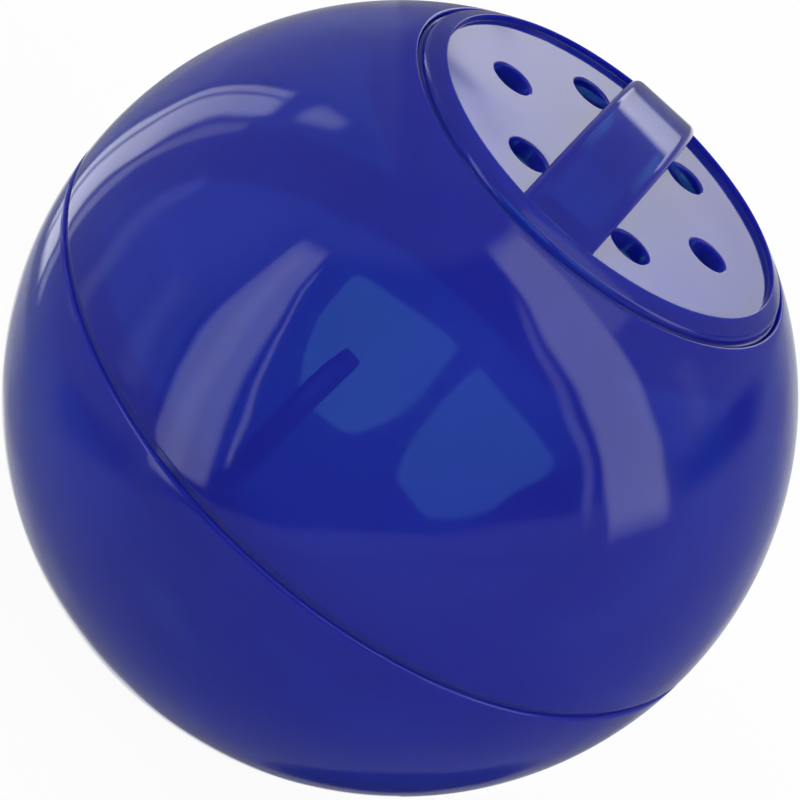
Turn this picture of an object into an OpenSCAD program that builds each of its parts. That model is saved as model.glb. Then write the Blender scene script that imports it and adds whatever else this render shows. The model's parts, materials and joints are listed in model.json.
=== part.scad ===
// Treat dispensing ball: two press-joined half shells, a turning dosing cage and a filling cap.
// Millimetres. The origin is the ball's centre and +Z is the cap's axis.
// The lower half's windows face +Y.

/* [Ball] */
// Outside diameter of the ball
ball_d = 76; // [60:1:110]
// Thickness of the half shells
wall = 2; // [1.6:0.1:2.8]
// Height of the seam above the ball's centre
seam_z = 1.2; // [0.4:0.1:3]
// Length of the lap joint's lip below the seam
lap_h = 2.4; // [1.5:0.1:4]
// Clearance between the lip and its rebate
lap_gap = 0.05; // [0.03:0.01:0.15]
// Size of the bevel on each edge of the seam
seam_edge = 0.25; // [0.1:0.05:0.5]

/* [Windows] */
// Width of a dispensing window
window_w = 15; // [10:0.5:16.5]
// Height of a dispensing window
window_h = 15.8; // [10:0.1:20]
// Width of the web between the windows, at their middle height
window_web = 1; // [0.8:0.1:4]
// Radius of the windows' corners
window_corner = 1.4; // [0.6:0.1:2.5]
// Latitude of the windows' centres, below the equator, in degrees
window_lat = 29; // [24:1:38]
// Direction of the web between the windows, in degrees from +X
window_lon = 86; // [60:1:120]

/* [Filling hole] */
// Diameter of the filling hole
fill_d = 41.5; // [36:0.5:44]
// Size of the bevel round the filling hole
fill_bevel = 0.35; // [0.1:0.05:0.6]

/* [Cage] */
// Clearance between the cage and the half shells
cage_gap = 0.35; // [0.3:0.05:0.6]
// Thickness of the cage
cage_t = 1.4; // [1:0.1:2]
// Height of the equator ring above the ball's centre
ring_top = 2.4; // [1.5:0.1:5]
// Depth of the equator ring below the ball's centre
ring_bottom = 4.5; // [3:0.1:6]
// Width of an arm, in degrees of turn
arm_span = 17; // [12:1:24]
// Direction of the first fin, in degrees from +X
fin_lon = -100.5; // [-120:0.5:-80]
// Thickness of the fins
fin_t = 1.4; // [1:0.1:2]
// Depth of the fins
fin_depth = 3.2; // [2:0.1:4.5]
// Latitude of the fins' rounded tips, in degrees
fin_lat = 27; // [20:1:34]
// Height of the neck tube
neck_h = 4.6; // [3.5:0.1:6]
// Thickness of the neck tube
neck_t = 1.6; // [1.3:0.1:2]
// How far the shoulder reaches out from the neck
shoulder_w = 2.8; // [1.5:0.1:4]
// Turn of the cage that shuts the windows, in degrees
shut_turn = 60; // [56:1:70]
// Overlap of the shutter past the windows' edges
shutter_margin = 1.2; // [0.8:0.1:2]
// Radius of the shutter's lower corners
shutter_corner = 4; // [2:0.5:6]

/* [Cap] */
// Width of the groove between the cap and the filling hole
cap_gap = 0.5; // [0.35:0.05:0.8]
// Width of the cap's rim
rim_w = 1.7; // [1.2:0.1:2.4]
// Size of the bevel round the cap's rim
rim_bevel = 0.35; // [0.1:0.05:0.6]
// Depth of the cap's face below the rim's inner edge
recess_depth = 0.7; // [0.5:0.1:1.4]
// Thickness of the cap's face
face_t = 1.6; // [1.2:0.1:2]
// Diameter of each hole in the cap
hole_d = 3.9; // [2.5:0.1:4.5]
// Diameter of the circle that the holes' centres lie on
hole_circle_d = 23.6; // [22:0.1:25]
// Number of holes in the cap
hole_count = 6; // [6]
// Thickness of the cap's skirt
skirt_t = 1.3; // [1:0.1:1.8]
// Clearance between the skirt and the neck
skirt_gap = 0.3; // [0.2:0.05:0.5]

/* [Grip] */
// Width of the grip where it meets the face
grip_w = 7.8; // [6.5:0.1:8.2]
// Width of the grip at its crest
grip_top_w = 7.7; // [6:0.1:7.8]
// Radius along the grip's upper edges
grip_round = 0.9; // [0.5:0.1:1.4]
// Thickness of the hollow grip's walls
grip_wall = 1.5; // [1.2:0.1:1.8]
// How far the grip's ends lie below the rim's inner edge
grip_sink = 0.2; // [0.1:0.05:0.5]

/* [Keys] */
// Number of key ribs on the skirt
key_count = 4; // [2:1:4]
// Width of a key rib
key_w = 4; // [3:0.5:6]
// How far a key rib stands out of the skirt
key_depth = 0.9; // [0.7:0.1:1]
// Clearance at each side of a key rib
key_gap = 0.15; // [0.1:0.05:0.3]

/* [Hidden] */

// How far cutting shapes run past what they cut
over = 1;
// How far joined shapes run into each other
bite = 0.2;
// Fineness of round shapes
$fn = 96;

ball_r = ball_d / 2;
shell_in_r = ball_r - wall;

// Height at which a circle of radius r lies on a sphere of radius ball
function on_sphere(ball, r) = sqrt(ball * ball - r * r);

// The lip takes the inner half of the wall
lap_r = shell_in_r + (wall - lap_gap) / 2;

fill_r = fill_d / 2;

// The cage turns inside the shells
cage_r = shell_in_r - cage_gap;
cage_in_r = cage_r - cage_t;

// The cap drops into the filling hole
cap_r = fill_r - cap_gap;
rim_in_r = cap_r - rim_w;
face_z = on_sphere(ball_r, rim_in_r) - recess_depth;
face_under_z = face_z - face_t;

// The neck stops under the cap's flange, inside the shell's inner sphere
neck_r = cap_r - bite / 2;
neck_in_r = neck_r - neck_t;
neck_top = on_sphere(cage_r, neck_r) + cage_gap / 2;
neck_bottom = neck_top - neck_h;
shoulder_z = on_sphere(cage_r, neck_r + shoulder_w);

// The arms stand a quarter turn from the fins, whose feet run down the whole ring
arm_lon = fin_lon + 90;
fin_foot_lat = -asin(ring_bottom / cage_r);

// The skirt hangs inside the neck
skirt_r = neck_in_r - skirt_gap;
skirt_in_r = skirt_r - skirt_t;
skirt_bottom = neck_bottom - skirt_gap;

// Each window's centre is turned from the web by half a window and half the web
window_r = ball_r - wall / 2;
window_parallel_r = window_r * cos(window_lat);
window_half_turn = asin((window_w + window_web) / 2 / window_parallel_r);
window_turns = [window_lon - window_half_turn, window_lon + window_half_turn];

// The shield outline, from its top left corner: shares of the window's width and height,
// and of the corner radius
shield_shares = [[-0.5, 0.5, 1], [-0.5, 0.05, 5], [-0.41, -0.25, 5], [-0.24, -0.5, 2],
                 [0.24, -0.5, 2], [0.41, -0.25, 5], [0.5, 0.05, 5], [0.5, 0.5, 1]];
shield = [for (p = shield_shares) [p[0] * window_w, p[1] * window_h]];
shield_radii = [for (p = shield_shares) p[2] * window_corner];

// The shutter covers both windows and starts beside them
shutter_w = 2 * window_w + window_web + 2 * shutter_margin;
shutter_low = window_h / 2 + 2 * shutter_margin;
shutter_low_w = shutter_w - shutter_low;
shutter_lon = window_lon - shut_turn;

// A key rib runs this far into the neck's wall
key_slot_depth = key_depth - skirt_gap + key_gap;

// The hollow under the grip stays inside the skirt
hollow_half = skirt_in_r - grip_wall;

// The grip's crest touches the ball's sphere at the top, and ends a little below the rim
grip_end_z = on_sphere(ball_r, rim_in_r) - grip_sink;
grip_axis_z = (ball_r * ball_r - grip_end_z * grip_end_z - rim_in_r * rim_in_r)
    / (ball_r - grip_end_z) / 2;
grip_r = ball_r - grip_axis_z;

// Points of an outline whose corners are rounded to radius r
function unit(v) = v / norm(v);
function corner_arc(a, p, b, r, steps = 6) =
    let (u = unit(a - p),
         v = unit(b - p),
         half = acos(u * v) / 2,
         mid = p + unit(u + v) * r / sin(half),
         start = p + u * r / tan(half) - mid,
         end = p + v * r / tan(half) - mid,
         sweep = 180 - 2 * half,
         way = sign(start[0] * end[1] - start[1] * end[0]))
    [for (i = [0 : steps])
        let (t = way * sweep * i / steps)
        mid + [start[0] * cos(t) - start[1] * sin(t), start[0] * sin(t) + start[1] * cos(t)]];
function rounded(points, radii) =
    let (n = len(points))
    [for (i = [0 : n - 1])
        each corner_arc(points[(i + n - 1) % n], points[i], points[(i + 1) % n], radii[i])];

// Lays a shape that is drawn in the XY plane and faces +Z onto a ball, at a longitude and latitude
module facing(lon, lat) {
    rotate([0, 0, lon])
        rotate([0, -lat, 0])
            rotate([90, 0, 90])
                children();
}

// Section of a wall between two spheres, kept between two heights
module ball_wall_section(r_out, r_in, low, high) {
    intersection() {
        difference() {
            circle(r = r_out);
            circle(r = r_in);
        }
        translate([0, low])
            square([r_out + over, high - low]);
    }
}

// The shield-shaped cutter of a window, through the shell's wall
module window_cutter() {
    translate([0, 0, shell_in_r - 2 * wall])
        linear_extrude(height = 4 * wall)
            polygon(rounded(shield, shield_radii));
}

// Lower half: windows, and the rebate that takes the upper half's lip
module lower_shell() {
    color([0.16, 0.18, 0.62, 0.6])
        difference() {
            rotate_extrude()
                difference() {
                    ball_wall_section(ball_r, shell_in_r, -ball_r, seam_z);
                    // Rebate for the lip
                    translate([0, seam_z - lap_h - lap_gap])
                        square([lap_r + lap_gap, lap_h + lap_gap + over]);
                    seam_bevel();
                }
            for (lon = window_turns)
                facing(lon, -window_lat)
                    window_cutter();
        }
}

// The small bevel that makes the seam a fine groove, on both halves
module seam_bevel() {
    translate([on_sphere(ball_r, seam_z), seam_z])
        polygon([[-seam_edge, 0], [over, seam_edge + over], [over, -seam_edge - over]]);
}

// Upper half: the filling hole, and the lip that the lower half grips
module upper_shell() {
    color([0.18, 0.2, 0.66, 0.6])
        rotate_extrude()
            difference() {
                union() {
                    ball_wall_section(ball_r, shell_in_r, seam_z, ball_r);
                    intersection() {
                        ball_wall_section(ball_r, shell_in_r, seam_z - lap_h, seam_z + bite);
                        translate([0, seam_z - lap_h])
                            square([lap_r, lap_h + bite]);
                    }
                }
                // Filling hole
                square([fill_r, ball_r + over]);
                // Bevel round the filling hole
                translate([fill_r, on_sphere(ball_r, fill_r)])
                    polygon([[-over, -fill_bevel], [0, -fill_bevel], [fill_bevel, 0],
                             [fill_bevel, over], [-over, over]]);
                seam_bevel();
            }
}

// Fin that stands up from the ring, with a rounded tip. It breaks up the treats as the ball rolls
module fin() {
    rotate([90, 0, 0])
        translate([0, 0, -fin_t / 2])
            linear_extrude(height = fin_t) {
                intersection() {
                    difference() {
                        circle(r = cage_in_r + cage_t / 2);
                        circle(r = cage_in_r - fin_depth);
                    }
                    polygon([[0, 0], ball_d * [cos(fin_foot_lat), sin(fin_foot_lat)],
                             ball_d * [cos(fin_lat), sin(fin_lat)]]);
                }
                rotate([0, 0, fin_lat])
                    translate([cage_in_r - fin_depth / 2, 0])
                        circle(d = fin_depth);
            }
}

// Section of the cage's wall and its neck tube, from below the shutter up to the neck's top
module cage_section() {
    intersection() {
        ball_wall_section(cage_r, cage_in_r, -cage_r, neck_top);
        translate([neck_in_r, -cage_r])
            square([cage_r, 2 * cage_r]);
    }
    translate([neck_in_r, neck_bottom])
        square([neck_t, neck_h]);
}

// Turning cage: neck with key slots, two arms, equator ring, two free fins and window shutter
module dosing_cage() {
    color([0.12, 0.14, 0.52, 0.7])
        difference() {
            union() {
                difference() {
                    rotate_extrude()
                        cage_section();
                    // Wide openings between the two arms, from the ring to the shoulder
                    for (lon = [arm_lon, arm_lon + 180])
                        rotate([0, 0, lon + arm_span / 2])
                            rotate_extrude(angle = 180 - arm_span)
                                translate([neck_r + bite, ring_top])
                                    square([ball_r, shoulder_z - ring_top]);
                    // Everything below the ring but the shutter
                    difference() {
                        translate([0, 0, -ball_r])
                            cylinder(h = ball_r - ring_bottom, r = ball_r);
                        facing(shutter_lon, -window_lat)
                            linear_extrude(height = ball_r)
                                shutter_outline();
                    }
                }
                // Fins between the arms
                for (lon = [fin_lon, fin_lon + 180])
                    rotate([0, 0, lon])
                        fin();
            }
            // Slots for the cap's key ribs
            for (k = [0 : key_count - 1])
                rotate([0, 0, 360 / key_count * (k + 0.5)])
                    translate([neck_in_r - over, -key_w / 2 - key_gap, neck_bottom - over])
                        cube([key_slot_depth + over, key_w + 2 * key_gap, neck_h + 2 * over]);
        }
}

// Shutter outline: a tab that narrows below, as the windows do, with round lower corners
module shutter_outline() {
    half = shutter_w / 2;
    low_half = shutter_low_w / 2;
    points = [[-half, window_h], [-half, 0], [-low_half, -shutter_low],
              [low_half, -shutter_low], [half, 0], [half, window_h]];
    shares = [0.5, 1, 1, 1, 1, 0.5];
    polygon(rounded(points, shutter_corner * shares));
}

// Outline of the grip across its length: half turned, so that X is the distance from the
// grip's own axis and Y runs across the grip
module grip_section(inset, low) {
    half_low = grip_w / 2 - inset;
    half_top = grip_top_w / 2 - inset;
    corner = max(grip_round - inset, grip_round / 3);
    crest = grip_r - inset;
    polygon(concat(
        [[low, -half_low]],
        corner_arc([low, -half_low], [crest, -half_top], [crest, half_top], corner),
        corner_arc([crest, -half_top], [crest, half_top], [low, half_low], corner),
        [[low, half_low]]));
}

// The grip's outside, or its hollow when inset: the section turned about an axis along X,
// kept above a height
module grip_body(inset, half_length, low) {
    intersection() {
        translate([0, 0, grip_axis_z])
            rotate([0, 90, 0])
                rotate_extrude()
                    grip_section(inset, low - grip_axis_z - over);
        translate([-grip_w, -half_length, low])
            cube([2 * grip_w, 2 * half_length, ball_r]);
    }
}

// Rim of the cap, on the ball's sphere, with a bevelled outer edge and a flange in to the skirt
module cap_rim() {
    rotate_extrude() {
        difference() {
            intersection() {
                circle(r = ball_r);
                translate([rim_in_r, neck_top])
                    square([rim_w, ball_r]);
            }
            translate([cap_r, on_sphere(ball_r, cap_r)])
                polygon([[over, -rim_bevel], [0, -rim_bevel], [-rim_bevel, rim_bevel],
                         [over, rim_bevel]]);
        }
        translate([skirt_r - skirt_t / 2, neck_top])
            square([rim_in_r - skirt_r + skirt_t / 2 + bite, face_z - neck_top - bite]);
    }
}

// Skirt of the cap, which hangs inside the neck
module cap_skirt() {
    difference() {
        translate([0, 0, skirt_bottom])
            cylinder(h = face_z - skirt_bottom - bite, r = skirt_r);
        translate([0, 0, skirt_bottom - over])
            cylinder(h = ball_r, r = skirt_in_r);
    }
}

// Filling cap: rim, sunk face with six holes, hollow grip, and a skirt with key ribs
module cap() {
    color([0.2, 0.22, 0.7, 0.7])
        difference() {
            union() {
                // Grip across the face
                grip_body(0, rim_in_r + bite, face_under_z + bite);
                // Sunk face
                translate([0, 0, face_under_z])
                    cylinder(h = face_t, r = rim_in_r + bite);
                cap_skirt();
                cap_rim();
                // Key ribs
                for (k = [0 : key_count - 1])
                    rotate([0, 0, 360 / key_count * (k + 0.5)])
                        translate([skirt_r - skirt_t / 2, -key_w / 2, neck_bottom])
                            cube([skirt_t / 2 + key_depth, key_w, neck_h + bite]);
            }
            // Hollow under the grip, open below
            grip_body(grip_wall, hollow_half, face_under_z - over);
            // Holes round the face
            for (k = [0 : hole_count - 1])
                rotate([0, 0, 360 / hole_count * k])
                    translate([hole_circle_d / 2, 0, face_under_z - over])
                        cylinder(h = face_t + 2 * over, d = hole_d);
        }
}

lower_shell();
upper_shell();
dosing_cage();
cap();
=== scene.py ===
# %% [markdown]
# # A treat dispensing ball
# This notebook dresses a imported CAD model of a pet's treat ball. The ball is made of four
# injection mouldings in deep blue, see-through polypropylene: two half shells, a cage that
# turns inside them, and a filling cap with a grip. The CAD parts say where everything is. The
# meshes made here are smooth enough for a gloss finish, and stand in the same places.

import json
import math

import bmesh
import bpy
from mathutils import Matrix, Vector


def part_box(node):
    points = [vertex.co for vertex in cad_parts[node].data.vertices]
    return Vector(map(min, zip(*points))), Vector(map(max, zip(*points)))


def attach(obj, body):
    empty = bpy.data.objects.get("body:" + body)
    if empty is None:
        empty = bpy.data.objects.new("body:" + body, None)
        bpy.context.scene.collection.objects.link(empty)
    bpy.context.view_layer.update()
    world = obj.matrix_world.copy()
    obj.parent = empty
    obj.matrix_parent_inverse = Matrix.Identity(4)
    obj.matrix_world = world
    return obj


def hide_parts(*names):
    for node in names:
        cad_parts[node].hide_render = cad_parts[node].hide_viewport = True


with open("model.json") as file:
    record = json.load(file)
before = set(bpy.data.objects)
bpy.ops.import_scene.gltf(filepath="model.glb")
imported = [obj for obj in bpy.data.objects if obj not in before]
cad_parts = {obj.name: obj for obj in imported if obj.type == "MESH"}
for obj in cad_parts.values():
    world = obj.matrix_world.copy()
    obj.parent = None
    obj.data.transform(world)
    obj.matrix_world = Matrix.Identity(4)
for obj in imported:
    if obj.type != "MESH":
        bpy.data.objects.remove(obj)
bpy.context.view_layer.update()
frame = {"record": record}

# %% [markdown]
# ## Sizes
# The pieces are modelled in millimetres, because mould drawings are, and each finished mesh is
# scaled to metres. The ball's radius and the cap's holes are read from the frame, so they can't
# drift away from the CAD. The other sizes are the ones that the mouldings have. Those that more
# than one moulding needs come first, and each other size stands in the cell that needs it.

# %% Sizes that the mouldings share, in millimetres
MM = 0.001
BALL_R = -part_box("lower_shell")[0].z / MM
WALL = 2.0
SHELL_IN_R = BALL_R - WALL
FILL_R = 20.75
CAP_GAP = 0.5
CAP_R = FILL_R - CAP_GAP
EDGE_ROUND = 0.15
OVER = 1.0
BITE = 0.2
print("ball", round(2 * BALL_R, 2), "mm across, cap", 2 * CAP_R, "mm across")

# %% [markdown]
# ## Turning, cutting and joining
# Every moulding here starts as a turned shape, as its mould does. An outline is one face in the
# XZ plane, its corners are rounded with a vertex bevel, and `spin` turns its edges about Z. A
# Screw modifier turns an outline too, but the operator leaves a plain mesh that the next step
# can cut. What isn't round is cut or joined with a boolean.

# %% Points and corners of an outline
ARC_STEP = 1.5
ROUND_STEPS = 4


def arc(radius, start, end, first=0.0, last=0.0):
    """Points (r, z, rounding) of a circle about the ball's centre, between two latitudes."""
    steps = max(2, round(abs(end - start) / ARC_STEP))
    points = []
    for i in range(steps + 1):
        lat = math.radians(start + (end - start) * i / steps)
        points.append([radius * math.cos(lat), radius * math.sin(lat), 0.0])
    points[0][2] = first
    points[-1][2] = last
    return points


def lat_at(radius, height):
    """Latitude at which a sphere of this radius has this height, in degrees."""
    return math.degrees(math.asin(height / radius))


def lat_of(radius, reach):
    """Latitude at which a sphere of this radius is this far from the axis, in degrees."""
    return math.degrees(math.acos(reach / radius))


def round_corners(bm, verts, sizes):
    """Rounds the corners of a flat face, each by its own size."""
    for size in sorted(set(sizes) - {0.0}):
        corners = [v for v, s in zip(verts, sizes) if s == size]
        bmesh.ops.bevel(bm, geom=corners, offset=size, affect="VERTICES",
                        segments=ROUND_STEPS, profile=0.5, material=-1)


print("a quarter circle has", len(arc(BALL_R, 0.0, 90.0)), "points")

# %% Turned and extruded shapes
TURN_STEPS = 192
SAME_PLACE = 1e-4
FULL_TURN = 360.0


def turned(outline, turn=FULL_TURN, steps=TURN_STEPS):
    """A closed bmesh: the outline (r, z, rounding) turned about Z, from the +X direction."""
    bm = bmesh.new()
    verts = [bm.verts.new((r, 0.0, z)) for r, z, _ in outline]
    bm.faces.new(verts)
    round_corners(bm, verts, [size for _, _, size in outline])
    bmesh.ops.delete(bm, geom=bm.faces[:], context="FACES_ONLY")
    on_axis = [e for e in bm.edges if all(abs(v.co.x) < SAME_PLACE for v in e.verts)]
    bmesh.ops.delete(bm, geom=on_axis, context="EDGES")
    bmesh.ops.spin(bm, geom=bm.verts[:] + bm.edges[:], cent=(0, 0, 0), axis=(0, 0, 1),
                   angle=math.radians(turn), steps=steps, use_merge=turn >= FULL_TURN)
    bmesh.ops.remove_doubles(bm, verts=bm.verts[:], dist=SAME_PLACE)
    bmesh.ops.holes_fill(bm, edges=bm.edges[:], sides=0)
    bmesh.ops.recalc_face_normals(bm, faces=bm.faces[:])
    return bm


def extruded(points, sizes, depth):
    """A closed bmesh: an outline in the XY plane, rounded and extruded along +Z."""
    bm = bmesh.new()
    verts = [bm.verts.new((x, y, 0.0)) for x, y in points]
    bm.faces.new(verts)
    round_corners(bm, verts, sizes)
    made = bmesh.ops.extrude_face_region(bm, geom=bm.faces[:])["geom"]
    top = [v for v in made if isinstance(v, bmesh.types.BMVert)]
    bmesh.ops.translate(bm, verts=top, vec=(0, 0, depth))
    bmesh.ops.recalc_face_normals(bm, faces=bm.faces[:])
    return bm


# %% Blocks and moves
def block(low, high):
    """A closed bmesh: a box between two opposite corners."""
    low, high = Vector(low), Vector(high)
    bm = bmesh.new()
    size = Matrix.Diagonal((*(high - low), 1.0))
    bmesh.ops.create_cube(bm, size=1.0, matrix=Matrix.Translation((low + high) / 2) @ size)
    return bm


def moved(bm, matrix):
    """The bmesh after a transform."""
    bmesh.ops.transform(bm, matrix=matrix, verts=bm.verts[:])
    return bm


def about_z(degrees):
    """A turn about the ball's own axis."""
    return Matrix.Rotation(math.radians(degrees), 4, "Z")


def onto_ball(lon, lat):
    """Takes a shape that is drawn in the XY plane and faces +Z to a longitude and latitude."""
    lay = Matrix(((0, 0, 1, 0), (1, 0, 0, 0), (0, 1, 0, 0), (0, 0, 0, 1)))
    return about_z(lon) @ Matrix.Rotation(math.radians(-lat), 4, "Y") @ lay


print("+Z is laid on longitude 0 as", tuple(round(n) for n in onto_ball(0, 0).col[2][:3]))

# %% [markdown]
# ## Solids and their normals
# A boolean modifier with the exact solver cuts clean edges through curved walls. It is applied
# at once, so that the next cut starts from a plain mesh. A gloss ball shows every wrong normal,
# and the thin triangles that a cut leaves have poor ones. So after the last cut, each corner on
# one of the ball's two spheres is given the sphere's own normal.

# %% Cutting and joining
def as_object(bm, name):
    """An object in the scene with the bmesh as its mesh. The bmesh is freed."""
    mesh = bpy.data.meshes.new(name)
    bm.to_mesh(mesh)
    bm.free()
    obj = bpy.data.objects.new(name, mesh)
    bpy.context.scene.collection.objects.link(obj)
    return obj


def as_bmesh(obj):
    """The object's mesh as a bmesh. The object is removed."""
    bm = bmesh.new()
    bm.from_mesh(obj.data)
    mesh = obj.data
    bpy.data.objects.remove(obj)
    bpy.data.meshes.remove(mesh)
    return bm


def apply_modifier(obj, modifier):
    """Makes a modifier's result the object's mesh."""
    depsgraph = bpy.context.evaluated_depsgraph_get()
    made = bpy.data.meshes.new_from_object(obj.evaluated_get(depsgraph))
    obj.modifiers.remove(modifier)
    old = obj.data
    obj.data = made
    bpy.data.meshes.remove(old)
    made.name = obj.name
    return made


def combine(obj, bm, operation):
    """Cuts the bmesh from the object's mesh, or joins it on. operation is DIFFERENCE or UNION."""
    tool = as_object(bm, "tool")
    modifier = obj.modifiers.new("combine", "BOOLEAN")
    modifier.operation = operation
    modifier.solver = "EXACT"
    modifier.object = tool
    apply_modifier(obj, modifier)
    as_bmesh(tool).free()


# %% Smooth shading with true normals
SHARP_ANGLE = math.radians(40)
ON_SPHERE = 5e-4


def is_on(point, radius):
    """True where a point lies on the sphere of this radius about the ball's centre."""
    return abs(point.length - radius) < ON_SPHERE


def smooth(obj, outer=0.0, inner=0.0):
    """Smooth shading with crisp edges, and true normals on the outer and inner spheres."""
    bm = bmesh.new()
    bm.from_mesh(obj.data)
    bmesh.ops.remove_doubles(bm, verts=bm.verts[:], dist=SAME_PLACE)
    bmesh.ops.dissolve_degenerate(bm, edges=bm.edges[:], dist=SAME_PLACE)
    for face in bm.faces:
        face.smooth = True
    for edge in bm.edges:
        edge.smooth = len(edge.link_faces) == 2 and edge.calc_face_angle() < SHARP_ANGLE
    bm.to_mesh(obj.data)
    bm.free()
    weighted = obj.modifiers.new("weighted", "WEIGHTED_NORMAL")
    weighted.keep_sharp = True
    mesh = apply_modifier(obj, weighted)
    normals = [n.vector.copy() for n in mesh.corner_normals]
    for face in mesh.polygons:
        points = [mesh.vertices[v].co for v in face.vertices]
        for radius, way in ((outer, 1), (inner, -1)):
            if radius and all(is_on(p, radius) for p in points):
                for loop, point in zip(face.loop_indices, points):
                    normals[loop] = way * point.normalized()
    mesh.normals_split_custom_set(normals)


def finished(obj, body, node, material):
    """Brings a piece to metres, gives it its finish, and lets it stand for its CAD node."""
    obj.data.transform(Matrix.Scale(MM, 4))
    obj.data.materials.clear()
    obj.data.materials.append(material)
    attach(obj, body)
    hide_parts(node)
    size = [round(d / MM, 1) for d in obj.dimensions]
    print(obj.name, len(obj.data.polygons), "faces,", size, "mm")


# %% [markdown]
# ## The plastic
# Polypropylene for toys is moulded with a little dye and left without filler. Light does two
# things in its wall. Some goes straight through, and comes out a greenish blue. More of it is
# scattered by the crystals in the plastic, and makes the wall glow a violet blue. One shader
# can't have both colours, so a clear one and a milky one are mixed. Both have the same gloss,
# because the surface copies the polished mould, with slow waves where the plastic shrank. The
# waves bend the reflections of straight lights, which tells the eye that the wall is moulded.

# %% Colours and nodes
def linear(hex_colour):
    """The linear colour of an sRGB hex value, with alpha 1."""
    channels = [int(hex_colour[i : i + 2], 16) / 255 for i in (1, 3, 5)]
    return (*[c / 12.92 if c <= 0.04045 else ((c + 0.055) / 1.055) ** 2.4 for c in channels], 1.0)


def add(tree, kind, settings=(), inputs=()):
    """Adds a node. settings are its properties, inputs its sockets' values or links."""
    node = tree.nodes.new(kind)
    for name, value in dict(settings).items():
        setattr(node, name, value)
    for name, value in dict(inputs).items():
        if isinstance(value, bpy.types.NodeSocket):
            tree.links.new(value, node.inputs[name])
        else:
            node.inputs[name].default_value = value
    return node


# %% See-through moulded polypropylene
DYE = "#3A70A0"
CLEAR_SHARE = 0.5
PP_IOR = 1.49
MILK_SCATTER = 1.0
MILK_REACH = (0.4, 0.6, 1.5)
# Size in mm of the patches in which the melt flowed, and of the waves where the wall shrank
FLOW_SIZE = 16.0
FLOW = {"Scale": 1 / (FLOW_SIZE * MM), "Detail": 2.0, "Roughness": 0.4}
WAVE_SIZE = 10.0
WAVES = {"Scale": 1 / (WAVE_SIZE * MM), "Detail": 1.0, "Roughness": 0.3}
# The gloss varies with the flow, between these shares of a finish's roughness
GLOSS_SPREAD = (0.8, 1.3)


def polypropylene(name, milk, milk_pale, roughness, wave_height):
    """The plastic's two milky colours where it flowed, its gloss, and its waves' height in mm."""
    material = bpy.data.materials.new(name)
    material.use_nodes = True
    tree = material.node_tree
    tree.nodes.clear()
    place = add(tree, "ShaderNodeTexCoord").outputs["Object"]
    flow = add(tree, "ShaderNodeTexNoise", inputs={"Vector": place, **FLOW}).outputs["Fac"]
    colour = add(tree, "ShaderNodeMix", {"data_type": "RGBA"}, {
        0: flow, 6: linear(milk), 7: linear(milk_pale)})
    gloss = add(tree, "ShaderNodeMapRange", inputs={
        "Value": flow, "To Min": roughness * GLOSS_SPREAD[0], "To Max": roughness * GLOSS_SPREAD[1]})
    waves = add(tree, "ShaderNodeTexNoise", inputs={"Vector": place, **WAVES})
    bump = add(tree, "ShaderNodeBump", inputs={
        "Height": waves.outputs["Fac"], "Distance": wave_height * MM, "Strength": 1.0})
    surface = {"Roughness": gloss.outputs["Result"], "Normal": bump.outputs["Normal"], "IOR": PP_IOR}
    milky = add(tree, "ShaderNodeBsdfPrincipled", inputs={
        **surface, "Base Color": colour.outputs[2], "Subsurface Weight": MILK_SCATTER,
        "Subsurface Radius": MILK_REACH, "Subsurface Scale": WALL * MM})
    dyed = add(tree, "ShaderNodeBsdfPrincipled", inputs={
        **surface, "Base Color": linear(DYE), "Transmission Weight": 1.0})
    both = add(tree, "ShaderNodeMixShader", inputs={
        "Fac": CLEAR_SHARE, 1: milky.outputs["BSDF"], 2: dyed.outputs["BSDF"]})
    add(tree, "ShaderNodeOutputMaterial", inputs={"Surface": both.outputs["Shader"]})
    print(name, "milk", milk, "roughness", roughness)
    return material


# %% Three finishes of the same plastic, the cage's with painted shade
# The cage's mould isn't polished, so the cage is satin. Its milky colours are painted darker than the
# shells', as painted shade for the light that the shells hold back
POLISHED = 0.06
SATIN = 0.12
SHELL_WAVES = 0.28
CAP_WAVES = 0.18

shell_plastic = polypropylene("polypropylene_shell", "#2429A8", "#353BC4", POLISHED, SHELL_WAVES)
# Painted shade: the cage's darker milky colours stand in for the shade inside the shells
cage_plastic_painted_shade = polypropylene("polypropylene_cage", "#1D2182", "#20258A", SATIN, SHELL_WAVES)
cap_plastic = polypropylene("polypropylene_cap", "#262BA4", "#3238BC", POLISHED, CAP_WAVES)

# %% [markdown]
# ## The upper shell
# The upper half is a turned wall with the filling hole at its top and a thin lip at the seam,
# which the lower half grips. A plain cut through a sphere would leave sharp edges, which no
# mould does. So each edge has a small round of its own, and the seam is a shallow groove that
# both halves share: it shows as a dark band with a bright line, and so does the filling hole.

# %% Sizes of the seam
SEAM_Z = 1.2
SEAM_ROUND = 0.34
SEAM_GROOVE = 0.7
SEAM_DEPTH = 0.4
LIP_H = 2.4
LIP_GAP = 0.05
LIP_R = SHELL_IN_R + (WALL - LIP_GAP) / 2
groove_r = BALL_R - SEAM_DEPTH
groove_top = SEAM_Z + SEAM_GROOVE / 2
groove_bottom = SEAM_Z - SEAM_GROOVE / 2
print("seam's groove from", round(groove_bottom, 2), "to", round(groove_top, 2), "mm up")

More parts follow.
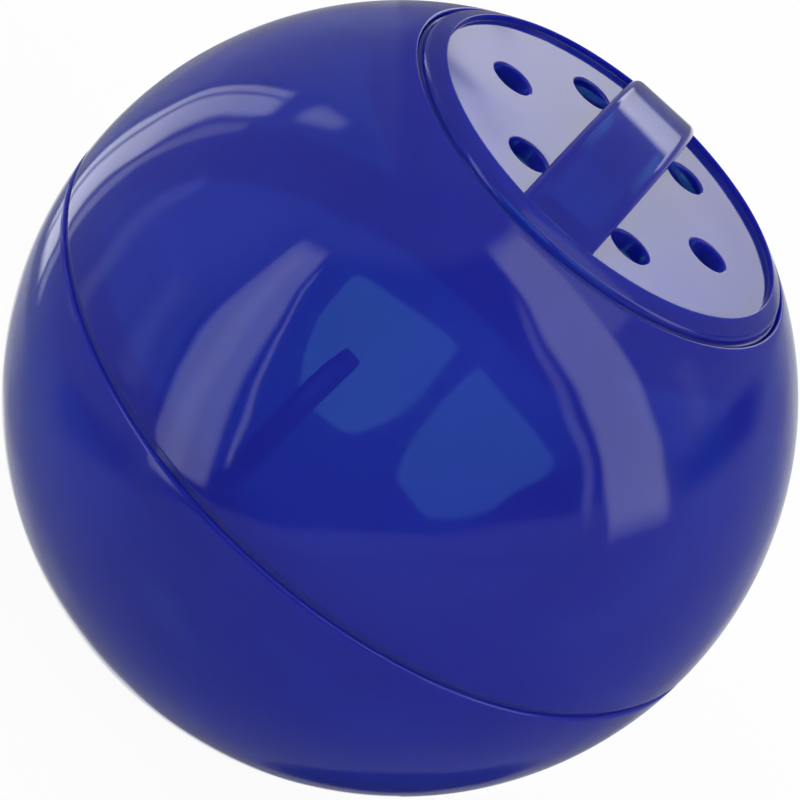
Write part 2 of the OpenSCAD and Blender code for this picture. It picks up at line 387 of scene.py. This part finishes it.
# %% Upper shell
FILL_ROUND = 0.35
upper_outline = (
    arc(BALL_R, lat_at(BALL_R, groove_top), lat_of(BALL_R, FILL_R), first=SEAM_ROUND, last=FILL_ROUND)
    + arc(SHELL_IN_R, lat_of(SHELL_IN_R, FILL_R), lat_at(SHELL_IN_R, SEAM_Z - LIP_H), first=EDGE_ROUND)
    + [[LIP_R, SEAM_Z - LIP_H, EDGE_ROUND], [LIP_R, SEAM_Z + LIP_GAP, 0.0],
       [groove_r, SEAM_Z + LIP_GAP, 0.0], [groove_r, groove_top, 0.0]]
)
upper_shell = as_object(turned(upper_outline), "upper_shell_moulding")
smooth(upper_shell, BALL_R, SHELL_IN_R)
finished(upper_shell, "shells", "upper_shell", shell_plastic)

# %% [markdown]
# ## The lower shell and its windows
# The lower half has two windows side by side, shaped like shields. A flat cutter would leave
# sharp edges that lean on the curved wall. So the cutter is lofted from one outline: each layer
# is laid on a sphere and grows a little near the surface, and the cut leaves a window whose
# edge is rounded all the way round.

# %% Outline of a window
WINDOW_W = 15.0
WINDOW_H = 15.8
WINDOW_WEB = 1.0
WINDOW_LAT = -29.0
WEB_LON = 86.0
WINDOW_CORNER = 1.4
WINDOW_ROUND = 0.3
# Share of the width, share of the height, and rounding in corner sizes
SHIELD_SHARES = ((-0.5, 0.5, 1), (-0.5, 0.05, 5), (-0.41, -0.25, 5), (-0.24, -0.5, 2),
                 (0.24, -0.5, 2), (0.41, -0.25, 5), (0.5, 0.05, 5), (0.5, 0.5, 1))


def setback(before, corner, after, radius):
    """How far from a corner an arc of this radius leaves the corner's two sides."""
    to_before = (Vector(before) - Vector(corner)).normalized()
    to_after = (Vector(after) - Vector(corner)).normalized()
    return round(radius / math.tan(to_before.angle(to_after) / 2), 4)


def setbacks(points, radii):
    """The setback of every corner of an outline."""
    count = len(points)
    return [setback(points[i - 1], points[i], points[(i + 1) % count], radii[i])
            for i in range(count)]


shield = [(x * WINDOW_W, y * WINDOW_H) for x, y, _ in SHIELD_SHARES]
shield_setbacks = setbacks(shield, [size * WINDOW_CORNER for _, _, size in SHIELD_SHARES])
print("a window's corners start", sorted(set(shield_setbacks)), "mm away")


# %% Cutter of a window
def rounding(i):
    """Shares of a round edge that are left behind and climbed after this step of it."""
    turn = math.radians(90.0 * i / ROUND_STEPS)
    return 1 - math.cos(turn), 1 - math.sin(turn)


def lay_ring(ring, radius, widen):
    """Lays a ring of edges on the sphere of this radius, after widening it by two factors."""
    for vert in {v for e in ring for v in e.verts}:
        x, y = vert.co.x * widen[0], vert.co.y * widen[1]
        vert.co = (x, y, math.sqrt(radius**2 - x * x - y * y))


def window_cutter():
    """A closed bmesh that cuts one window, drawn facing +Z about the ball's centre."""
    bm = bmesh.new()
    verts = [bm.verts.new((x, y, 0.0)) for x, y in shield]
    bm.faces.new(verts)
    round_corners(bm, verts, shield_setbacks)
    layers = [(SHELL_IN_R - WALL, 0.0)]
    for out, up in map(rounding, range(ROUND_STEPS + 1)):
        layers.append((BALL_R - WINDOW_ROUND * up, WINDOW_ROUND * out))
    layers.append((BALL_R + 2 * WALL, WINDOW_ROUND + WALL))
    ring = bm.edges[:]
    widened = Vector((1.0, 1.0))
    for number, (radius, grow) in enumerate(layers):
        if number:
            made = bmesh.ops.extrude_edge_only(bm, edges=ring)["geom"]
            ring = [e for e in made if isinstance(e, bmesh.types.BMEdge) and not e.link_faces[1:]]
        wanted = Vector((1 + 2 * grow / WINDOW_W, 1 + 2 * grow / WINDOW_H))
        lay_ring(ring, radius, (wanted.x / widened.x, wanted.y / widened.y))
        widened = wanted
    bmesh.ops.holes_fill(bm, edges=ring, sides=0)
    bmesh.ops.recalc_face_normals(bm, faces=bm.faces[:])
    return bm


# %% Lower shell
web_r = (BALL_R - WALL / 2) * math.cos(math.radians(WINDOW_LAT))
half_web_turn = math.degrees(math.asin((WINDOW_W + WINDOW_WEB) / 2 / web_r))
rebate_r = LIP_R + LIP_GAP
rebate_z = SEAM_Z - LIP_H - LIP_GAP
lower_outline = (
    arc(BALL_R, lat_at(BALL_R, groove_bottom), -90.0, first=SEAM_ROUND)
    + arc(SHELL_IN_R, -90.0, lat_at(SHELL_IN_R, rebate_z), last=EDGE_ROUND)
    + [[rebate_r, rebate_z, 0.0], [rebate_r, SEAM_Z, 0.0],
       [groove_r, SEAM_Z, 0.0], [groove_r, groove_bottom, 0.0]]
)
lower_shell = as_object(turned(lower_outline), "lower_shell_moulding")
for turn in (-half_web_turn, half_web_turn):
    combine(lower_shell, moved(window_cutter(), onto_ball(WEB_LON + turn, WINDOW_LAT)), "DIFFERENCE")
smooth(lower_shell, BALL_R, SHELL_IN_R)
finished(lower_shell, "shells", "lower_shell", shell_plastic)

# %% [markdown]
# ## The dosing cage
# The cage turns inside the shells and its shutter opens or shuts the windows. Its mould makes it
# in one piece, and so does this cell: one turned wall with a neck tube is opened between two
# arms, and cut away below the ring but for the shutter. Building the arms and the shutter one
# by one would leave steps where they meet, and a cut wall has none.

# %% Cage wall and neck
CAGE_GAP = 0.35
CAGE_T = 1.4
CAGE_R = SHELL_IN_R - CAGE_GAP
CAGE_IN_R = CAGE_R - CAGE_T
CAGE_LOW = -52.0
NECK_H = 4.6
NECK_T = 1.6
NECK_R = CAP_R - BITE / 2
NECK_IN_R = NECK_R - NECK_T
NECK_TOP = math.sqrt(CAGE_R**2 - NECK_R**2) + CAGE_GAP / 2
NECK_BOTTOM = NECK_TOP - NECK_H
cage_outline = (
    arc(CAGE_R, CAGE_LOW, lat_of(CAGE_R, NECK_R))
    + [[NECK_R, NECK_TOP, EDGE_ROUND], [NECK_IN_R, NECK_TOP, EDGE_ROUND],
       [NECK_IN_R, NECK_BOTTOM, EDGE_ROUND], [NECK_R, NECK_BOTTOM, EDGE_ROUND]]
    + arc(CAGE_IN_R, lat_of(CAGE_IN_R, NECK_R), CAGE_LOW)
)
dosing_cage = as_object(turned(cage_outline), "dosing_cage_moulding")
print("neck from", round(NECK_BOTTOM, 2), "to", round(NECK_TOP, 2), "mm up")

# %% Gaps between the two arms
RING_TOP = 2.4
ARM_SPAN = 17.0
FIN_LON = -100.5
ARM_LON = FIN_LON + 90
SHOULDER_W = 2.8
SHOULDER_Z = math.sqrt(CAGE_R**2 - (NECK_R + SHOULDER_W) ** 2)
gap_outline = [[NECK_R + BITE, RING_TOP, 0.0], [BALL_R + OVER, RING_TOP, 0.0],
               [BALL_R + OVER, SHOULDER_Z, 0.0], [NECK_R + BITE, SHOULDER_Z, 0.0]]
for lon in (ARM_LON, ARM_LON + 180):
    gap = turned(gap_outline, turn=180.0 - ARM_SPAN)
    combine(dosing_cage, moved(gap, about_z(lon + ARM_SPAN / 2)), "DIFFERENCE")
print("two arms,", ARM_SPAN, "degrees wide")

# %% Shutter
RING_BOTTOM = -4.5
SHUT_TURN = 60.0
SHUTTER_MARGIN = 1.2
SHUTTER_CORNER = 4.0
COARSE_STEPS = 48
half = WINDOW_W + WINDOW_WEB / 2 + SHUTTER_MARGIN
low = WINDOW_H / 2 + 2 * SHUTTER_MARGIN
low_half = half - low / 2
shutter_points = [(-half, WINDOW_H), (-half, 0), (-low_half, -low),
                  (low_half, -low), (half, 0), (half, WINDOW_H)]
shutter_radii = [SHUTTER_CORNER * share for share in (0.5, 1, 1, 1, 1, 0.5)]
shutter = extruded(shutter_points, setbacks(shutter_points, shutter_radii), BALL_R + 2 * OVER)
waste_outline = [[0, RING_BOTTOM, 0], [BALL_R + OVER, RING_BOTTOM, 0],
                 [BALL_R + OVER, -BALL_R, 0], [0, -BALL_R, 0]]
below_ring = as_object(turned(waste_outline, steps=COARSE_STEPS), "below_ring")
combine(below_ring, moved(shutter, onto_ball(WEB_LON - SHUT_TURN, WINDOW_LAT)), "DIFFERENCE")
combine(dosing_cage, as_bmesh(below_ring), "DIFFERENCE")
print("shutter", 2 * half, "mm wide, shut after", SHUT_TURN, "degrees")

# %% [markdown]
# ## Fins and key slots of the cage
# Two fins stand free on the ring, between the arms. They break up the treats as the ball rolls,
# and the near one shows through the shell as a dark bar with a round tip. A fin is an outline
# on two circles with a half circle at its end, extruded and stood upright. The slots in the
# neck take the cap's key ribs, so that turning the cap turns the cage.

# %% Fins
FIN_T = 1.4
FIN_DEPTH = 3.2
FIN_LAT = 27.0
TIP_STEPS = 8
fin_foot = lat_at(CAGE_R, RING_BOTTOM)
tip_r = FIN_DEPTH / 2
tip_lat = math.radians(FIN_LAT)
tip_centre = Vector((math.cos(tip_lat), math.sin(tip_lat))) * (CAGE_IN_R - tip_r)
fin_points = [(r, z) for r, z, _ in arc((CAGE_R + CAGE_IN_R) / 2, fin_foot, FIN_LAT)]
for i in range(TIP_STEPS + 1):
    way = tip_lat + math.pi * i / TIP_STEPS
    fin_points.append((tip_centre.x + tip_r * math.cos(way), tip_centre.y + tip_r * math.sin(way)))
fin_points += [(r, z) for r, z, _ in arc(CAGE_IN_R - FIN_DEPTH, FIN_LAT, fin_foot)][1:]
stand_up = Matrix.Rotation(math.radians(90), 4, "X") @ Matrix.Translation((0, 0, -FIN_T / 2))
for lon in (FIN_LON, FIN_LON + 180):
    fin = moved(extruded(fin_points, [0.0] * len(fin_points), FIN_T), stand_up)
    combine(dosing_cage, moved(fin, about_z(lon)), "UNION")
print("fin outline has", len(fin_points), "points")

# %% Key slots
KEY_COUNT = 4
KEY_W = 4.0
KEY_DEPTH = 0.9
KEY_GAP = 0.15
SKIRT_GAP = 0.3
slot_half = KEY_W / 2 + KEY_GAP
slot_r = NECK_IN_R + KEY_DEPTH - SKIRT_GAP + KEY_GAP
key_lons = [360 / KEY_COUNT * (number + 0.5) for number in range(KEY_COUNT)]
for lon in key_lons:
    slot = block((NECK_IN_R - OVER, -slot_half, NECK_BOTTOM - OVER), (slot_r, slot_half, NECK_TOP + OVER))
    combine(dosing_cage, moved(slot, about_z(lon)), "DIFFERENCE")
smooth(dosing_cage, CAGE_R, CAGE_IN_R)
finished(dosing_cage, "cage", "dosing_cage", cage_plastic_painted_shade)

# %% [markdown]
# ## The filling cap
# The cap is turned in one outline: a rim on the ball's sphere, a sunk face, a flange and a skirt
# that hangs in the neck. The grip is an arched bar across the face, hollow from below so that
# the plastic cools evenly. It is turned about an axis of its own, because its crest follows the
# ball. Six holes let the smell of the treats out, and their edges are rounded as the mould
# leaves them, which gives each a bright ring.

# %% Cap body
RIM_W = 1.7
RIM_H = 0.7
RIM_ROUND = 0.35
RIM_IN_R = CAP_R - RIM_W
FLANGE_STEP = 0.35
FLANGE_R = CAP_R + FLANGE_STEP
SKIRT_T = 1.3
SKIRT_R = NECK_IN_R - SKIRT_GAP
SKIRT_IN_R = SKIRT_R - SKIRT_T
SKIRT_BOTTOM = NECK_BOTTOM - SKIRT_GAP
cap_holes = next(m for m in frame["record"]["mounts"] if m["name"] == "cap_holes")
FACE_Z = cap_holes["pos_m"][2] / MM
FACE_T = 1.6
under_face = FACE_Z - FACE_T
rim_low = math.sqrt(BALL_R**2 - CAP_R**2) - RIM_H
cap_outline = (
    [[0, FACE_Z, 0], [RIM_IN_R, FACE_Z, EDGE_ROUND]]
    + arc(BALL_R, lat_of(BALL_R, RIM_IN_R), lat_of(BALL_R, CAP_R), first=EDGE_ROUND, last=RIM_ROUND)
    + [[CAP_R, rim_low, EDGE_ROUND], [FLANGE_R, rim_low, EDGE_ROUND],
       [FLANGE_R, NECK_TOP, EDGE_ROUND], [SKIRT_R, NECK_TOP, EDGE_ROUND],
       [SKIRT_R, SKIRT_BOTTOM, EDGE_ROUND], [SKIRT_IN_R, SKIRT_BOTTOM, EDGE_ROUND],
       [SKIRT_IN_R, under_face, EDGE_ROUND], [0, under_face, 0]]
)
cap = as_object(turned(cap_outline), "cap_moulding")
print("cap's face at", round(FACE_Z, 2), "mm, skirt down to", round(SKIRT_BOTTOM, 2), "mm")

# %% Grip
GRIP_W = 7.8
GRIP_TOP_W = 7.7
GRIP_ROUND = 0.9
GRIP_WALL = 1.5
GRIP_SINK = 0.2
GRIP_TURN = 90.0
GRIP_STEPS = 72
grip_end_z = math.sqrt(BALL_R**2 - RIM_IN_R**2) - GRIP_SINK
grip_axis_z = (BALL_R**2 - grip_end_z**2 - RIM_IN_R**2) / (BALL_R - grip_end_z) / 2
grip_r = BALL_R - grip_axis_z


def arched_bar(inset, half_length, low):
    """A closed bmesh: the grip's section turned about an axis along X, cut to length and height."""
    half_low = GRIP_W / 2 - inset
    half_top = GRIP_TOP_W / 2 - inset
    crest = grip_r - inset
    start = low - grip_axis_z - OVER
    corner = max(GRIP_ROUND - inset, GRIP_ROUND / 3)
    bm = turned([[start, -half_low, 0], [crest, -half_top, corner], [crest, half_top, corner],
                 [start, half_low, 0]], turn=GRIP_TURN, steps=GRIP_STEPS)
    upright = Matrix.Translation((0, 0, grip_axis_z)) @ Matrix.Rotation(math.radians(90), 4, "Y")
    moved(bm, upright @ about_z(180 - GRIP_TURN / 2))
    for point, way in (((0, 0, low), (0, 0, -1)), ((0, half_length, 0), (0, 1, 0)),
                       ((0, -half_length, 0), (0, -1, 0))):
        everything = bm.verts[:] + bm.edges[:] + bm.faces[:]
        bmesh.ops.bisect_plane(bm, geom=everything, plane_co=point, plane_no=way, clear_outer=True)
        bmesh.ops.holes_fill(bm, edges=bm.edges[:], sides=0)
    bmesh.ops.recalc_face_normals(bm, faces=bm.faces[:])
    return bm


combine(cap, arched_bar(0.0, RIM_IN_R + BITE, FACE_Z - FACE_T / 2), "UNION")
combine(cap, arched_bar(GRIP_WALL, SKIRT_IN_R - GRIP_WALL, under_face - OVER), "DIFFERENCE")
print("grip's crest turns on a radius of", round(grip_r, 2), "mm")

# %% Holes and key ribs
HOLE_R = cap_holes["dims"]["hole_r_mm"]
HOLE_CIRCLE_R = cap_holes["dims"]["pcd_mm"] / 2
HOLE_COUNT = cap_holes["dims"]["count"]
HOLE_ROUND = 0.3
hole_outline = [[0, under_face - OVER, 0], [HOLE_R, under_face - OVER, 0]]
for out, up in map(rounding, range(ROUND_STEPS + 1)):
    hole_outline.append([HOLE_R + HOLE_ROUND * out, FACE_Z - HOLE_ROUND * up, 0])
hole_outline += [[HOLE_R + HOLE_ROUND + OVER, FACE_Z + BITE, 0], [0, FACE_Z + BITE, 0]]
for number in range(HOLE_COUNT):
    place = about_z(360 / HOLE_COUNT * number) @ Matrix.Translation((HOLE_CIRCLE_R, 0, 0))
    combine(cap, moved(turned(hole_outline, steps=COARSE_STEPS), place), "DIFFERENCE")
for lon in key_lons:
    rib = block((SKIRT_R - SKIRT_T / 2, -KEY_W / 2, NECK_BOTTOM),
                (SKIRT_R + KEY_DEPTH, KEY_W / 2, NECK_TOP + BITE))
    combine(cap, moved(rib, about_z(lon)), "UNION")
smooth(cap, BALL_R)
finished(cap, "cap", "cap", cap_plastic)

# %% [markdown]
# ## The camera
# The photograph looks down at the ball by 30 degrees, from three ball widths away, with the
# ball rolled so that its cap points up to the right. Here the ball's own axis is upright, so the
# camera carries the roll instead. The lens isn't set by eye: it follows from the distance and
# from how many pixels the ball's outline fills.

# %% Camera
CAMERA_ELEVATION = math.radians(30)
CAMERA_ROLL = math.radians(42.2)
CAMERA_DISTANCE = 6 * BALL_R * MM
SENSOR = 36.0
FRAME_PX = 800
BALL_PX = 398.5
SHIFT_Y = -0.002

camera_data = bpy.data.cameras.new("camera")
camera = bpy.data.objects.new("camera", camera_data)
bpy.context.scene.collection.objects.link(camera)
back = Vector((0, -math.cos(CAMERA_ELEVATION), math.sin(CAMERA_ELEVATION)))
tilt = Matrix.Rotation(math.pi / 2 - CAMERA_ELEVATION, 4, "X")
roll = Matrix.Rotation(CAMERA_ROLL, 4, "Z")
camera.matrix_world = Matrix.Translation(back * CAMERA_DISTANCE) @ tilt @ roll
focal_px = BALL_PX * math.sqrt((CAMERA_DISTANCE / (BALL_R * MM)) ** 2 - 1)
camera_data.sensor_width = SENSOR
camera_data.lens = focal_px / FRAME_PX * SENSOR
camera_data.shift_y = SHIFT_Y
bpy.context.scene.camera = camera
print("lens", round(camera_data.lens, 1), "mm")

# %% [markdown]
# ## The room
# A gloss ball is mostly a picture of its room, so the room is drawn in the world shader, by
# azimuth and elevation: a pale table, a dark place where the camera stands, dim grey walls, and
# tall softboxes. Lamps with a shape could stand there instead, but their light would change the
# plastic's colour as well. Only rays that left a gloss surface see this picture. The camera sees
# plain white, and all other rays see a soft, even light, so the plastic keeps its own colour.

# %% Directions in the room
ROOM_TILT = math.radians(25)
room_right, camera_up, camera_back = [Vector(camera.matrix_world.col[i][:3]) for i in range(3)]
room_top = math.cos(ROOM_TILT) * camera_up + math.sin(ROOM_TILT) * camera_back
room_front = room_right.cross(room_top)

world = bpy.data.worlds.new("studio")
bpy.context.scene.world = world
world.use_nodes = True
sky = world.node_tree
sky.nodes.clear()
direction = add(sky, "ShaderNodeTexCoord").outputs["Generated"]


def maths(operation, *values):
    """The result of a sum on sockets or numbers."""
    return add(sky, "ShaderNodeMath", {"operation": operation}, dict(enumerate(values))).outputs[0]


def towards(axis):
    """How far the ray's direction points along an axis, from -1 to 1."""
    dot = add(sky, "ShaderNodeVectorMath", {"operation": "DOT_PRODUCT"}, {0: direction, 1: axis})
    return dot.outputs["Value"]


def ramp(value, start, end, low=0.0, high=1.0):
    """A smooth step of the value: low at start, high at end."""
    step = add(sky, "ShaderNodeMapRange", {"interpolation_type": "SMOOTHSTEP"}, {
        "Value": value, "From Min": start, "From Max": end, "To Min": low, "To Max": high})
    return step.outputs["Result"]


to_degrees = 180 / math.pi
elevation = maths("MULTIPLY", maths("ARCSINE", towards(room_top)), to_degrees)
azimuth = maths("MULTIPLY", maths("ARCTAN2", towards(room_right), towards(room_front)), to_degrees)
print("room's top", [round(n, 2) for n in room_top], "front", [round(n, 2) for n in room_front])

# %% Table and walls
# Each step starts and ends at an angle in degrees, with a level at both ends where it isn't 0 to 1
TABLE_EDGE = (-10.5, -13.5)
TABLE_LEVEL = (-75.0, -20.0, 0.16, 0.28)
FAR_TABLE = (125.0, 170.0, 0.0, 0.45)
FAR_TABLE_EDGE = (-46.0, -28.0)
WALLS = (44.0, 82.0, 0.0, 0.25)
LEFT_WALL = (-152.0, -154.0, 0.0, 0.09)
CEILING = (57.0, 64.0, 0.0, 0.2)

away = maths("ABSOLUTE", azimuth)
far_table = maths("MULTIPLY", ramp(away, *FAR_TABLE), ramp(elevation, *FAR_TABLE_EDGE))
table = maths("ADD", ramp(elevation, *TABLE_LEVEL), far_table)
walls = maths("ADD", ramp(away, *WALLS), ramp(azimuth, *LEFT_WALL))
walls = maths("MAXIMUM", walls, ramp(elevation, *CEILING))
picture = add(sky, "ShaderNodeMix", inputs={
    0: ramp(elevation, *TABLE_EDGE), 2: walls, 3: table}).outputs[0]
print("table below", TABLE_EDGE[0], "degrees, ceiling above", CEILING[0], "degrees")

# %% The ball's own shadow on the table
SHADOW_ELEVATION = math.radians(-62)
SHADOW_SIZE = math.cos(math.radians(11.5))
SHADOW_SOFT = 0.008
SHADOW_LEVEL = 0.1

shadow_way = math.sin(SHADOW_ELEVATION) * room_top - math.cos(SHADOW_ELEVATION) * room_front
in_shadow = (SHADOW_SIZE - SHADOW_SOFT, SHADOW_SIZE + SHADOW_SOFT, 1.0, SHADOW_LEVEL)
picture = maths("MULTIPLY", picture, ramp(towards(shadow_way.normalized()), *in_shadow))
print("shadow towards", [round(n, 2) for n in shadow_way])

# %% [markdown]
# ## Softboxes and dark things
# The ball mirrors two tall softboxes as curved strips, each with a thin bright line beside it,
# which is its frame. Each is a rectangle in azimuth and elevation with soft sides and ends, and
# it may lean. The brighter of a light and what is behind it shows. Dark things, such as the
# lights' stands, are taken away from the picture at the end.

# %% Lights in the room
# Left and right side, lean, lower and upper end, strength, softness of the sides and of the ends
LIGHTS = (
    (-70.0, -52.0, 0.18, -7.0, 60.0, 1.55, 1.5, 2.5),
    (-67.5, -58.0, 0.18, -7.0, 58.0, 2.0, 3.5, 2.5),
    (-47.6, -46.2, 0.15, 2.0, 54.0, 1.5, 0.5, 2.5),
    (54.5, 74.5, -0.12, -20.0, 60.0, 1.9, 1.4, 5.0),
    (48.0, 51.0, -0.09, -17.0, 44.0, 0.8, 1.0, 7.0),
    (66.0, 82.0, 0.0, 26.0, 62.0, 0.9, 4.0, 2.5),
    (-150.8, -148.0, 0.0, -7.0, 50.0, 1.7, 0.6, 2.5),
    (-147.1, -139.4, 0.0, -7.0, 50.0, 2.0, 1.2, 2.5),
    (-137.6, -133.5, 0.0, -7.0, 47.0, 0.85, 1.2, 2.5),
    (-149.0, -138.0, 0.0, 58.0, 68.0, 1.5, 4.5, 2.5),
    (-116.5, -108.5, 0.0, 4.0, 46.0, 0.56, 5.0, 2.5),
    (-89.0, -76.0, 0.0, 6.0, 34.0, 0.48, 7.0, 2.5),
    (81.0, 95.0, 0.0, -6.0, 10.0, 0.45, 7.0, 2.5),
    (-190.0, -155.0, 0.0, -42.0, -14.0, 1.0, 6.0, 2.5),
)
BACK_LIGHT = (124.0, 168.0, 0.0, 6.0, 20.5, 2.8, 1.6, 2.5)
BACK_LIGHT_FADE = (7.0, 21.0, 0.5, 1.0)


def softbox(left, right, lean, low, high, strength, side_soft, end_soft):
    """The level of one light in the room, by azimuth and elevation in degrees."""
    across = maths("SUBTRACT", azimuth, maths("MULTIPLY", elevation, lean))
    inside = maths("MULTIPLY", ramp(across, left - side_soft, left + side_soft),
                   ramp(across, right + side_soft, right - side_soft))
    above = ramp(elevation, low - end_soft, low + end_soft)
    below = ramp(elevation, high + end_soft, high - end_soft)
    return maths("MULTIPLY", maths("MULTIPLY", inside, above), maths("MULTIPLY", below, strength))


for light in LIGHTS:
    picture = maths("MAXIMUM", picture, softbox(*light))
back_light = maths("MULTIPLY", softbox(*BACK_LIGHT), ramp(elevation, *BACK_LIGHT_FADE))
picture = maths("MAXIMUM", picture, back_light)
print(len(LIGHTS) + 1, "lights in the room")

# %% Dark things in the room
DARK_THINGS = (
    (-72.5, -70.5, 0.18, 8.0, 40.0, 0.2, 1.2, 2.5),
    (-108.0, -78.0, 0.0, -10.5, -4.5, 0.18, 5.0, 2.5),
    (80.0, 118.0, 0.05, -16.5, -9.0, 0.28, 6.0, 2.5),
    (-36.0, 46.0, 0.0, -23.0, -21.0, 0.09, 8.0, 2.5),
)
for thing in DARK_THINGS:
    picture = maths("SUBTRACT", picture, softbox(*thing))
print(len(DARK_THINGS), "dark things in the room")

# %% [markdown]
# ## Who sees what
# Light Path tells the world what kind of ray asks. A gloss ray sees the room's picture, a ray
# that scattered in the plastic sees the even fill light, and the camera sees white. A ray that
# crossed two walls has lost more light in the renderer than in the real, thin ball, so the world
# gives it more: this makes the windows and the fin show through the wall, and adds nothing to
# the light on the outside.

# %% Levels by kind of ray
FILL_LIGHT = 0.5
GLOW = 5.5
GLOW_CROSSINGS = (3.0, 4.0)
GLOW_BY_ELEVATION = (-33.0, -23.0, 0.0, GLOW - 1)
THROUGH_BY_ELEVATION = (-34.0, -22.0, 0.5, 1.0)

path = add(sky, "ShaderNodeLightPath").outputs
crossed = maths("ADD", path["Transmission Depth"], maths("MULTIPLY", path["Diffuse Depth"], 2.0))
glow = maths("MULTIPLY", ramp(crossed, *GLOW_CROSSINGS), ramp(elevation, *GLOW_BY_ELEVATION))
through = maths("ADD", ramp(elevation, *THROUGH_BY_ELEVATION), glow)
not_glossy = maths("SUBTRACT", 1.0, path["Is Glossy Ray"])
level = maths("ADD", maths("MULTIPLY", path["Is Glossy Ray"], picture),
              maths("MULTIPLY", not_glossy, FILL_LIGHT))
level = maths("MAXIMUM", level, maths("MULTIPLY", path["Is Transmission Ray"], through))
level = maths("MAXIMUM", level, path["Is Camera Ray"])
backdrop = add(sky, "ShaderNodeBackground", inputs={"Color": (1, 1, 1, 1), "Strength": level})
add(sky, "ShaderNodeOutputWorld", inputs={"Surface": backdrop.outputs["Background"]})
print("the world has", len(sky.nodes), "nodes")

# %% [markdown]
# ## The floor and the lamps
# The floor touches the ball at its lowest point. It is matt and pale, and nearly white to the
# camera, but it keeps the ball's shadow. Gloss rays pass through it to the room's own table, so
# the ball's wall shows no hard horizon. Three soft lamps light the ball at a plain level.

# %% Floor
FLOOR_SIZE = 3.0
floor_bm = bmesh.new()
bmesh.ops.create_grid(floor_bm, x_segments=1, y_segments=1, size=FLOOR_SIZE / 2)
bmesh.ops.translate(floor_bm, verts=floor_bm.verts[:], vec=(0, 0, -BALL_R * MM))
floor = as_object(floor_bm, "floor")
print("floor at", round(-BALL_R, 2), "mm")

# %% Floor paint
FLOOR_WHITE = 0.945
floor_paint = bpy.data.materials.new("white_floor")
floor_paint.use_nodes = True
paint = floor_paint.node_tree
paint.nodes.clear()


def paint_maths(operation, first, second):
    """The result of a sum on the floor paint's sockets or numbers."""
    return add(paint, "ShaderNodeMath", {"operation": operation}, {0: first, 1: second}).outputs[0]


def blend(share, first, second):
    """The floor paint's mix of two shaders."""
    return add(paint, "ShaderNodeMixShader", inputs={
        "Fac": share, 1: first.outputs[0], 2: second.outputs[0]})


floor_path = add(paint, "ShaderNodeLightPath").outputs
matt = add(paint, "ShaderNodeBsdfDiffuse", inputs={"Color": linear("#EDEDED")})
plain = add(paint, "ShaderNodeEmission", inputs={"Color": (1, 1, 1, 1), "Strength": 1.0})
hole = add(paint, "ShaderNodeBsdfTransparent")
shown = blend(paint_maths("MULTIPLY", floor_path["Is Camera Ray"], FLOOR_WHITE), matt, plain)
below_floor = add(paint, "ShaderNodeNewGeometry").outputs["Backfacing"]
unseen = paint_maths("MAXIMUM", floor_path["Is Glossy Ray"], below_floor)
unseen = paint_maths("MAXIMUM", floor_path["Is Transmission Ray"], unseen)
surface = blend(unseen, shown, hole)
add(paint, "ShaderNodeOutputMaterial", inputs={"Surface": surface.outputs["Shader"]})
floor.data.materials.append(floor_paint)
print("floor paint has", len(paint.nodes), "nodes")

# %% Lamps
LAMP_SIZE = 0.4
# Name, place in metres, power in watts
LAMPS = (
    ("lamp_left", (-0.5, -0.35, 0.5), 2.0),
    ("lamp_right", (0.55, -0.3, 0.35), 2.0),
    ("lamp_back", (0.1, 0.6, 0.5), 1.5),
)
for name, place, power in LAMPS:
    lamp_data = bpy.data.lights.new(name, "AREA")
    lamp_data.size = LAMP_SIZE
    lamp_data.energy = power
    lamp = bpy.data.objects.new(name, lamp_data)
    bpy.context.scene.collection.objects.link(lamp)
    facing = Vector(place).to_track_quat("Z", "Y").to_matrix().to_4x4()
    lamp.matrix_world = Matrix.Translation(place) @ facing
    lamp.visible_camera = False
    lamp.visible_glossy = False
    lamp.visible_transmission = False
    print(name, power, "W")

# %% [markdown]
# ## The view of colours
# The Standard view shows colours as they are written.

# %% The view of colours
bpy.context.scene.view_settings.view_transform = "Standard"
